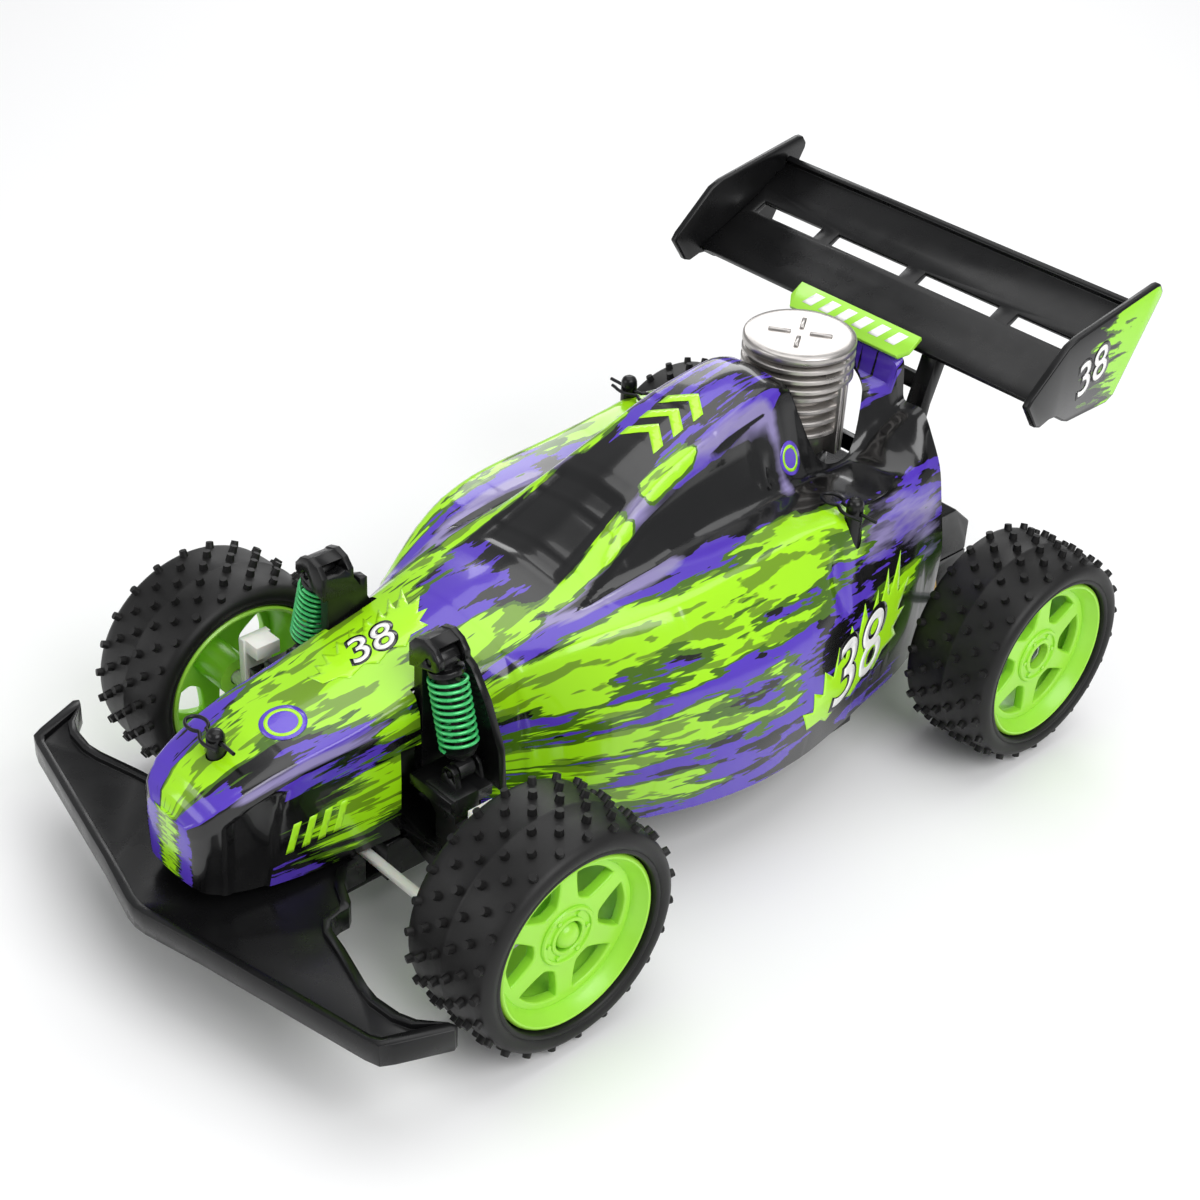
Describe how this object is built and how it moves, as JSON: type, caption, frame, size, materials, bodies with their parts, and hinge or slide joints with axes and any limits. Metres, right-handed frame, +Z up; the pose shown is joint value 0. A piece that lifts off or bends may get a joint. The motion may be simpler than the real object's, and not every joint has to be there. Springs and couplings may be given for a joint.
{
  "type": "toy buggy car",
  "caption": "Remote control off-road buggy: lift-off body shell on a chassis tub, sprung steered front axle, live rear axle, slotted wing.",
  "frame": {"origin": "on the ground under the middle of the car's box, half way across and along it", "axes": "+X to the car's left, +Y towards its tail (it drives towards -Y), +Z up"},
  "size_m": [0.195, 0.3489, 0.1617],
  "materials": {
    "black_abs": "fine-grained black moulding",
    "black_nylon": "black nylon, slightly waxy",
    "tyre_rubber": "soft black rubber, moulded",
    "green_abs": "bright green glossy moulding",
    "lime_shell": "thin clear-coated shell printed lime, purple, olive and black",
    "white_nylon": "white nylon moulding",
    "chromed_abs": "silver-plated plastic, satin",
    "spring_steel_green": "green lacquered spring wire",
    "steel": "plain steel, lightly oiled",
    "brass": "turned brass",
    "circuit_green": "solder-masked board",
    "cell_wrap": "heat-shrink film"
  },
  "bodies": {
    "chassis": {"axle_bush_left": "brass", "axle_bush_right": "brass", "battery_bay": "black_abs", "battery_door": "black_abs", "battery_door_screw": "steel", "battery_pack": "cell_wrap", "body_post_front": "black_abs", "body_post_left": "black_abs", "body_post_right": "black_abs", "body_shell": "lime_shell", "chassis_tub": "black_abs", "circuit_board": "circuit_green", "drive_motor": "steel", "engine_head": "chromed_abs", "engine_mount": "black_abs", "front_bulkhead": "black_abs", "front_bumper": "black_abs", "gearbox_cover": "black_abs", "gearbox_housing": "black_abs", "shock_tower_left": "black_abs", "shock_tower_right": "black_abs", "steering_servo": "black_nylon", "wing_badge_plate": "green_abs", "wing_endplate_left": "black_abs", "wing_endplate_right": "black_abs", "wing_mount": "black_abs", "wing_plane": "black_abs"},
    "power_switch": {"power_switch": "black_nylon"},
    "rear_axle_set": {"rear_axle": "steel", "axle_gear": "white_nylon", "rear_rim_left": "green_abs", "rear_rim_right": "green_abs", "rear_tyre_left": "tyre_rubber", "rear_tyre_right": "tyre_rubber", "axle_nut_left": "steel", "axle_nut_right": "steel"},
    "idler_gear": {"idler_gear": "white_nylon"},
    "motor_pinion": {"motor_pinion": "brass"},
    "tie_rod": {"tie_rod": "white_nylon"},
    "steering_horn": {"steering_horn": "white_nylon"},
    "body_clip_front": {"body_clip_front": "steel"},
    "body_clip_left": {"body_clip_left": "steel"},
    "body_clip_right": {"body_clip_right": "steel"},
    "front_arm_left": {"front_arm_left": "black_abs"},
    "knuckle_left": {"knuckle_left": "white_nylon"},
    "front_wheel_left": {"front_rim_left": "green_abs", "front_tyre_left": "tyre_rubber", "hub_cap_left": "green_abs"},
    "shock_body_left": {"shock_body_left": "black_abs", "shock_spring_left": "spring_steel_green"},
    "shock_rod_left": {"shock_rod_left": "black_nylon"},
    "front_arm_right": {"front_arm_right": "black_abs"},
    "knuckle_right": {"knuckle_right": "white_nylon"},
    "front_wheel_right": {"front_rim_right": "green_abs", "front_tyre_right": "tyre_rubber", "hub_cap_right": "green_abs"},
    "shock_body_right": {"shock_body_right": "black_abs", "shock_spring_right": "spring_steel_green"},
    "shock_rod_right": {"shock_rod_right": "black_nylon"}
  },
  "joints": [
    {"name": "front_arm_left", "type": "hinge", "parent": "chassis", "child": "front_arm_left", "pos_m": [0.016, -0.0896, 0.04], "axis": [0, -1, 0], "range_deg": [0, 6], "stiffness_Nm_per_rad": 0.6, "springref_deg": -20.05},
    {"name": "front_arm_right", "type": "hinge", "parent": "chassis", "child": "front_arm_right", "pos_m": [-0.016, -0.0896, 0.04], "axis": [0, 1, 0], "range_deg": [0, 6], "stiffness_Nm_per_rad": 0.6, "springref_deg": -20.05},
    {"name": "steer_left", "type": "hinge", "parent": "front_arm_left", "child": "knuckle_left", "pos_m": [0.053, -0.0896, 0.0391], "axis": [0, 0, 1], "range_deg": [-18, 18]},
    {"name": "steer_right", "type": "hinge", "parent": "front_arm_right", "child": "knuckle_right", "pos_m": [-0.053, -0.0896, 0.0391], "axis": [0, 0, 1], "range_deg": [-18, 18]},
    {"name": "tie_rod_slide", "type": "slide", "parent": "chassis", "child": "tie_rod", "axis": [1, 0, 0], "range_m": [-0.0055, 0.0055]},
    {"name": "steering_horn_turn", "type": "hinge", "parent": "chassis", "child": "steering_horn", "pos_m": [0, -0.121, 0.038], "axis": [0, 0, 1], "range_deg": [-20, 20]},
    {"name": "front_wheel_spin_left", "type": "hinge", "parent": "knuckle_left", "child": "front_wheel_left", "pos_m": [0.08, -0.0896, 0.0391], "axis": [1, 0, 0], "continuous": true},
    {"name": "front_wheel_spin_right", "type": "hinge", "parent": "knuckle_right", "child": "front_wheel_right", "pos_m": [-0.08, -0.0896, 0.0391], "axis": [1, 0, 0], "continuous": true},
    {"name": "rear_axle_spin", "type": "hinge", "parent": "chassis", "child": "rear_axle_set", "pos_m": [0, 0.1272, 0.0391], "axis": [1, 0, 0], "continuous": true},
    {"name": "idler_spin", "type": "hinge", "parent": "chassis", "child": "idler_gear", "pos_m": [0, 0.1086, 0.0431], "axis": [1, 0, 0], "continuous": true},
    {"name": "motor_spin", "type": "hinge", "parent": "chassis", "child": "motor_pinion", "pos_m": [0, 0.0906, 0.037], "axis": [1, 0, 0], "continuous": true},
    {"name": "shock_swing_left", "type": "hinge", "parent": "chassis", "child": "shock_body_left", "pos_m": [0.0293, -0.0846, 0.0995], "axis": [0, -1, 0], "range_deg": [-3.7, 0]},
    {"name": "shock_travel_left", "type": "slide", "parent": "shock_body_left", "child": "shock_rod_left", "axis": [0.2577, 0, -0.9662], "range_m": [-0.003, 0], "deforming": ["shock_spring_left"]},
    {"name": "shock_swing_right", "type": "hinge", "parent": "chassis", "child": "shock_body_right", "pos_m": [-0.0293, -0.0846, 0.0995], "axis": [0, 1, 0], "range_deg": [-3.7, 0]},
    {"name": "shock_travel_right", "type": "slide", "parent": "shock_body_right", "child": "shock_rod_right", "axis": [-0.2577, 0, -0.9662], "range_m": [-0.003, 0], "deforming": ["shock_spring_right"]},
    {"name": "body_clip_pull_front", "type": "slide", "parent": "chassis", "child": "body_clip_front", "axis": [-1, 0, 0], "range_m": [0, 0.012]},
    {"name": "body_clip_pull_left", "type": "slide", "parent": "chassis", "child": "body_clip_left", "axis": [-1, 0, 0], "range_m": [0, 0.012]},
    {"name": "body_clip_pull_right", "type": "slide", "parent": "chassis", "child": "body_clip_right", "axis": [1, 0, 0], "range_m": [0, 0.012]},
    {"name": "power_switch_slide", "type": "slide", "parent": "chassis", "child": "power_switch", "axis": [0, 1, 0], "range_m": [-0.0025, 0.0025]}
  ],
  "couplings": [
    {"joint": "steer_right", "follows": "steer_left", "ratio": 1},
    {"joint": "tie_rod_slide", "follows": "steer_left", "m_per_rad": 0.0162},
    {"joint": "steering_horn_turn", "follows": "steer_left", "ratio": -1.095},
    {"joint": "idler_spin", "follows": "rear_axle_spin", "ratio": -2.4},
    {"joint": "motor_spin", "follows": "rear_axle_spin", "ratio": 5.76},
    {"joint": "shock_swing_left", "follows": "front_arm_left", "ratio": -0.585},
    {"joint": "shock_travel_left", "follows": "front_arm_left", "m_per_rad": -0.0272},
    {"joint": "shock_swing_right", "follows": "front_arm_right", "ratio": -0.585},
    {"joint": "shock_travel_right", "follows": "front_arm_right", "m_per_rad": -0.0272}
  ]
}
